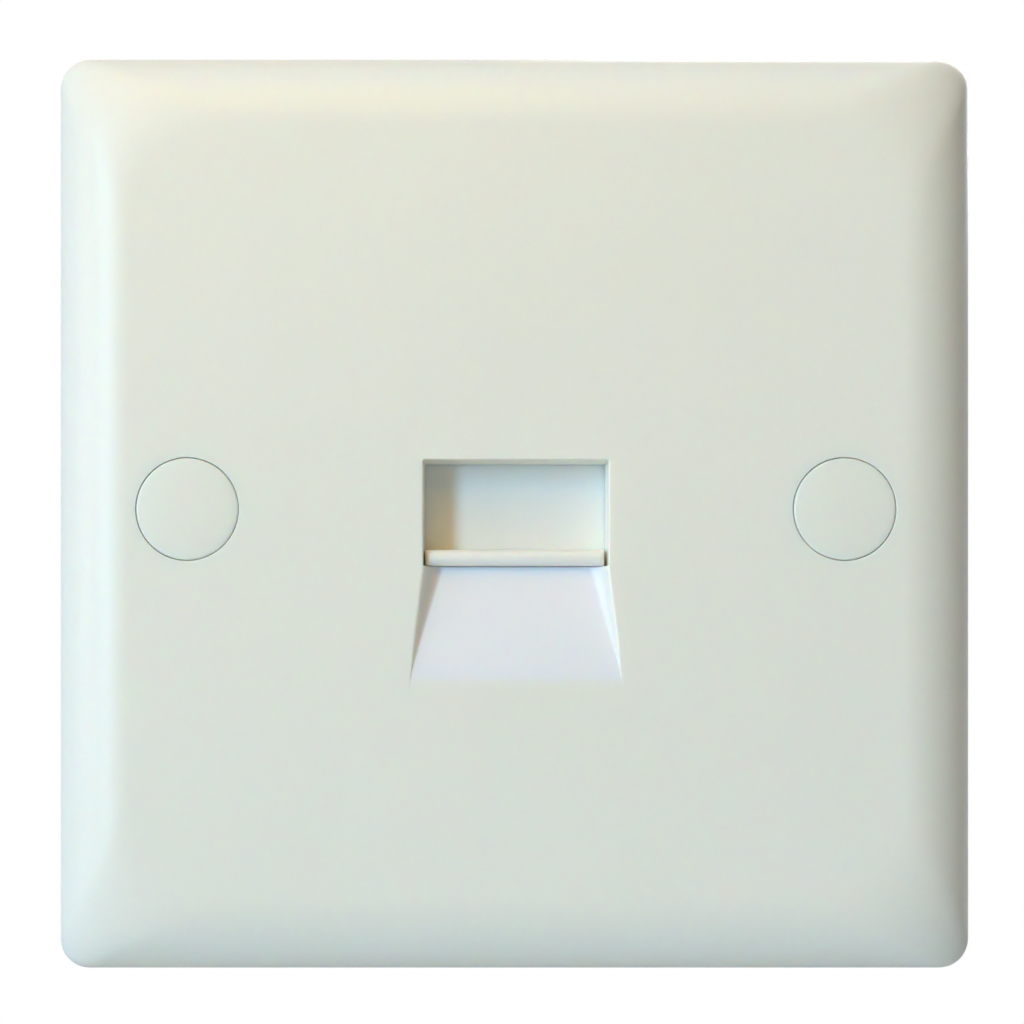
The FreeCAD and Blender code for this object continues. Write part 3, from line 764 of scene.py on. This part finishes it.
def add_joint(bm, x, z, pad, level, way):
    """A cone of solder on a pad, with its radius as shares of the pad's at heights in millimetres."""
    profile = [(pad * share, level + way * rise) for share, rise in solder_form]
    add_solid(bm, turned_rings(x, z, profile, 24))


def solder_joints():
    bm = bmesh.new()
    for x in contact_places:
        add_joint(bm, x, contact_tail, contact_pad, board_back, 1)
    for x in terminal_columns:
        for row in terminal_rows:
            add_joint(bm, x, row, blade_pad, board_back - board_thickness, -1)
    return solid_piece(bm, "solder_joints", 50)


tin = polished_metal("tin_solder", (0.70, 0.71, 0.72), 0.25, 4000, 0.16, 0.36)
solder = solder_joints()
solder.data.materials.append(tin)
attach(solder, "plate")


# Two terminal blocks of white flame-retardant nylon stand on the board. In each of their three
# slots a forked brass blade cuts through the insulation of the wire that is pushed in.
terminal_nylon = new_material("terminal_nylon", (0.80, 0.79, 0.74), 0.42)
mottle(terminal_nylon, object_noise(terminal_nylon, 300), (0.78, 0.77, 0.71), (0.82, 0.81, 0.765))
bump(terminal_nylon, object_noise(terminal_nylon, 3500, 2), 0.00002, 0.2)
blade_brass = polished_metal("blade_brass", (0.78, 0.60, 0.32), 0.3, 2500, 0.22, 0.42)
for side in ("left", "right"):
    finish_node("terminal_block_" + side, terminal_nylon, 0.15)
for number in range(1, 7):
    finish_node("terminal_blade_" + str(number), blade_brass)


# The screws are zinc-plated steel: two module screws through the board, and two long
# machine screws through the plate's wells, which fix the socket to the wall box.
thread_root = 1.36
thread_crest = 1.75
thread_pitch = 0.6
thread_form = (0, 0.42, 0.58)
shank_start = 0
shank_end = 20.8
zinc = new_material("zinc_plate", (0.66, 0.67, 0.68), 0.3, metallic=1.0)
zinc_clouds = object_noise(zinc, 1200)
gloss_range(zinc, zinc_clouds, 0.22, 0.42)
mottle(zinc, zinc_clouds, (0.60, 0.61, 0.63), (0.72, 0.72, 0.71))
for name in ("module_screw_upper", "module_screw_lower"):
    finish_node(name, zinc)


def thread_rows(x, steps=30):
    """The thread as rows of points that wind round the axis: its root and both edges of its crest."""
    rows = []
    for row_number in range(-3, 3 * round((shank_end - shank_start) / thread_pitch) + 1):
        turn_number, edge = divmod(row_number, 3)
        first = shank_start + thread_pitch * (turn_number + thread_form[edge])
        row = []
        for k in range(steps + 1):
            level = min(max(first + thread_pitch * k / steps, shank_start), shank_end)
            fade = min(1, (level - shank_start) / thread_pitch, (shank_end - level) / thread_pitch)
            radius = thread_root + (thread_crest - thread_root) * fade * (edge > 0)
            turn = 2 * math.pi * k / steps
            row.append((x + radius * math.cos(turn), level, radius * math.sin(turn)))
        rows.append(row)
    return rows


def fixing_screw(name, node, x):
    """Keeps the head and neck of the frame's screw and gives its shank a cut thread."""
    bm = bmesh.new()
    bm.from_mesh(node.data)
    shank = [f for f in bm.faces if f.calc_center_median().y > 0.0001]
    bmesh.ops.delete(bm, geom=shank, context="FACES")
    add_strips(bm, thread_rows(x), False)
    tip = turned_rings(x, 0, [(thread_root, shank_end)], 30)[0]
    bm.faces.new([bm.verts.new(Vector(p) * 0.001) for p in tip])
    bmesh.ops.remove_doubles(bm, verts=bm.verts, dist=1e-6)
    bmesh.ops.dissolve_degenerate(bm, edges=bm.edges, dist=1e-7)
    return solid_piece(bm, name, 28)


for side, x in (("left", -screw_offset), ("right", screw_offset)):
    screw = fixing_screw("long_screw_" + side, cad["fixing_screw_" + side], x)
    screw.data.materials.append(zinc)
    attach(screw, "plate")
    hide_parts("fixing_screw_" + side)
